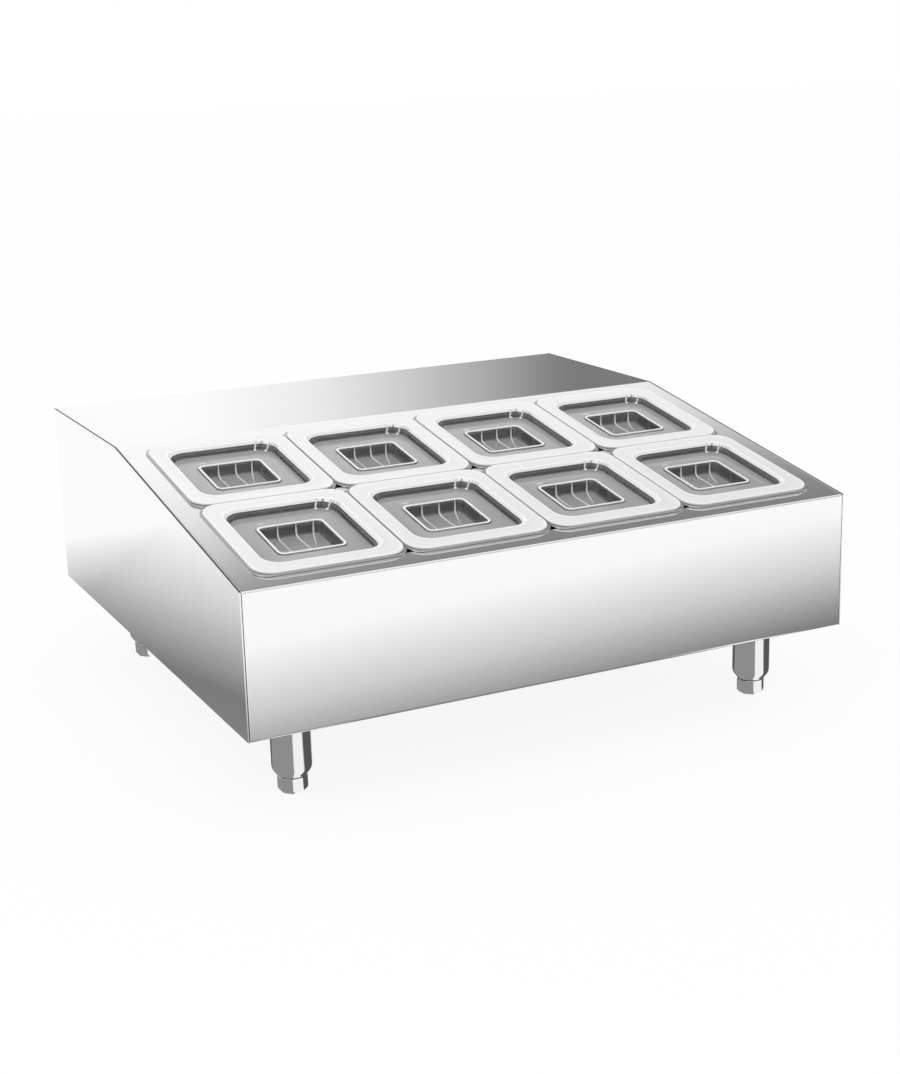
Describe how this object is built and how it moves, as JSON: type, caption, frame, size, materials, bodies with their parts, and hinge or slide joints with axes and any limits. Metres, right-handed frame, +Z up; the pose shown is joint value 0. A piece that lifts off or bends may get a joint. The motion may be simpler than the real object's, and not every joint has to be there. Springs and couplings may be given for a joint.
{
  "type": "refrigerated topping unit",
  "caption": "Countertop casing with a sloping deck of lidded food pans over a cold well, a rear shelf over its cooling machine, and adjustable round legs.",
  "frame": {"origin": "on the counter, under the middle of the casing, between the feet's soles", "axes": "+X along the width to the right seen from the front, +Y to the back, +Z up"},
  "size_m": [0.7, 0.65, 0.307],
  "materials": {
    "casing_stainless": "satin",
    "pan_stainless": "satin",
    "inner_galvanised": "matte",
    "leg_chrome": "polished",
    "clear_lid": "gloss",
    "well_foam": "matte",
    "cooling_aluminium": "satin",
    "compressor_paint": "satin",
    "grommet_rubber": "matte",
    "black_plastic": "satin",
    "pipe_copper": "satin"
  },
  "bodies": {
    "casing": {"left_side_panel": "casing_stainless", "right_side_panel": "casing_stainless", "deck_and_front_cover": "casing_stainless", "rear_panel": "casing_stainless", "base_panel": "inner_galvanised", "bulkhead": "inner_galvanised", "well_liner": "pan_stainless", "foam_insulation": "well_foam", "evaporator_plate": "cooling_aluminium", "pan_crossbar": "casing_stainless", "left_bar_bracket": "pan_stainless", "right_bar_bracket": "pan_stainless", "legs": "leg_chrome", "compressor_shell": "compressor_paint", "compressor_mount_plate": "inner_galvanised", "compressor_grommets": "grommet_rubber", "compressor_terminal_cover": "black_plastic", "condenser_headers": "cooling_aluminium", "condenser_tubes": "cooling_aluminium", "condenser_fins": "cooling_aluminium", "fan_shroud": "inner_galvanised", "fan_motor": "compressor_paint", "fan_motor_bracket": "inner_galvanised", "suction_pipe": "pipe_copper", "discharge_pipe": "pipe_copper", "filter_drier": "pipe_copper", "capillary_tube": "pipe_copper", "thermostat": "black_plastic", "power_switch": "black_plastic", "cord_bushing": "black_plastic"},
    "front_pan_1": {"pan_front_1": "pan_stainless"},
    "front_lid_1": {"lid_front_1": "clear_lid"},
    "front_pan_2": {"pan_front_2": "pan_stainless"},
    "front_lid_2": {"lid_front_2": "clear_lid"},
    "front_pan_3": {"pan_front_3": "pan_stainless"},
    "front_lid_3": {"lid_front_3": "clear_lid"},
    "front_pan_4": {"pan_front_4": "pan_stainless"},
    "front_lid_4": {"lid_front_4": "clear_lid"},
    "rear_pan_1": {"pan_rear_1": "pan_stainless"},
    "rear_lid_1": {"lid_rear_1": "clear_lid"},
    "rear_pan_2": {"pan_rear_2": "pan_stainless"},
    "rear_lid_2": {"lid_rear_2": "clear_lid"},
    "rear_pan_3": {"pan_rear_3": "pan_stainless"},
    "rear_lid_3": {"lid_rear_3": "clear_lid"},
    "rear_pan_4": {"pan_rear_4": "pan_stainless"},
    "rear_lid_4": {"lid_rear_4": "clear_lid"},
    "front_left_foot": {"foot_front_left": "leg_chrome"},
    "front_right_foot": {"foot_front_right": "leg_chrome"},
    "rear_left_foot": {"foot_rear_left": "leg_chrome"},
    "rear_right_foot": {"foot_rear_right": "leg_chrome"},
    "fan": {"fan_rotor": "black_plastic"},
    "knob": {"thermostat_knob": "black_plastic"},
    "rocker": {"switch_rocker": "black_plastic"}
  },
  "joints": [
    {"name": "front_pan_1_lift", "type": "slide", "parent": "casing", "child": "front_pan_1", "axis": [0, -0.1644, 0.9864], "range_m": [0, 0.13]},
    {"name": "front_lid_1_lift", "type": "slide", "parent": "front_pan_1", "child": "front_lid_1", "axis": [0, -0.1644, 0.9864], "range_m": [0, 0.12]},
    {"name": "front_pan_2_lift", "type": "slide", "parent": "casing", "child": "front_pan_2", "axis": [0, -0.1644, 0.9864], "range_m": [0, 0.13]},
    {"name": "front_lid_2_lift", "type": "slide", "parent": "front_pan_2", "child": "front_lid_2", "axis": [0, -0.1644, 0.9864], "range_m": [0, 0.12]},
    {"name": "front_pan_3_lift", "type": "slide", "parent": "casing", "child": "front_pan_3", "axis": [0, -0.1644, 0.9864], "range_m": [0, 0.13]},
    {"name": "front_lid_3_lift", "type": "slide", "parent": "front_pan_3", "child": "front_lid_3", "axis": [0, -0.1644, 0.9864], "range_m": [0, 0.12]},
    {"name": "front_pan_4_lift", "type": "slide", "parent": "casing", "child": "front_pan_4", "axis": [0, -0.1644, 0.9864], "range_m": [0, 0.13]},
    {"name": "front_lid_4_lift", "type": "slide", "parent": "front_pan_4", "child": "front_lid_4", "axis": [0, -0.1644, 0.9864], "range_m": [0, 0.12]},
    {"name": "rear_pan_1_lift", "type": "slide", "parent": "casing", "child": "rear_pan_1", "axis": [0, -0.1644, 0.9864], "range_m": [0, 0.13]},
    {"name": "rear_lid_1_lift", "type": "slide", "parent": "rear_pan_1", "child": "rear_lid_1", "axis": [0, -0.1644, 0.9864], "range_m": [0, 0.12]},
    {"name": "rear_pan_2_lift", "type": "slide", "parent": "casing", "child": "rear_pan_2", "axis": [0, -0.1644, 0.9864], "range_m": [0, 0.13]},
    {"name": "rear_lid_2_lift", "type": "slide", "parent": "rear_pan_2", "child": "rear_lid_2", "axis": [0, -0.1644, 0.9864], "range_m": [0, 0.12]},
    {"name": "rear_pan_3_lift", "type": "slide", "parent": "casing", "child": "rear_pan_3", "axis": [0, -0.1644, 0.9864], "range_m": [0, 0.13]},
    {"name": "rear_lid_3_lift", "type": "slide", "parent": "rear_pan_3", "child": "rear_lid_3", "axis": [0, -0.1644, 0.9864], "range_m": [0, 0.12]},
    {"name": "rear_pan_4_lift", "type": "slide", "parent": "casing", "child": "rear_pan_4", "axis": [0, -0.1644, 0.9864], "range_m": [0, 0.13]},
    {"name": "rear_lid_4_lift", "type": "slide", "parent": "rear_pan_4", "child": "rear_lid_4", "axis": [0, -0.1644, 0.9864], "range_m": [0, 0.12]},
    {"name": "front_left_foot_screw", "type": "slide", "parent": "casing", "child": "front_left_foot", "axis": [0, 0, -1], "range_m": [0, 0.025]},
    {"name": "front_right_foot_screw", "type": "slide", "parent": "casing", "child": "front_right_foot", "axis": [0, 0, -1], "range_m": [0, 0.025]},
    {"name": "rear_left_foot_screw", "type": "slide", "parent": "casing", "child": "rear_left_foot", "axis": [0, 0, -1], "range_m": [0, 0.025]},
    {"name": "rear_right_foot_screw", "type": "slide", "parent": "casing", "child": "rear_right_foot", "axis": [0, 0, -1], "range_m": [0, 0.025]},
    {"name": "fan_spin", "type": "hinge", "parent": "casing", "child": "fan", "pos_m": [0.17, 0.257, 0.1884], "axis": [0, 1, 0], "continuous": true},
    {"name": "thermostat_turn", "type": "hinge", "parent": "casing", "child": "knob", "pos_m": [-0.2, 0.3076, 0.246], "axis": [0, -1, 0], "range_deg": [0, 300]},
    {"name": "switch_rock", "type": "hinge", "parent": "casing", "child": "rocker", "pos_m": [-0.262, 0.305, 0.246], "axis": [-1, 0, 0], "range_deg": [0, 16]}
  ]
}
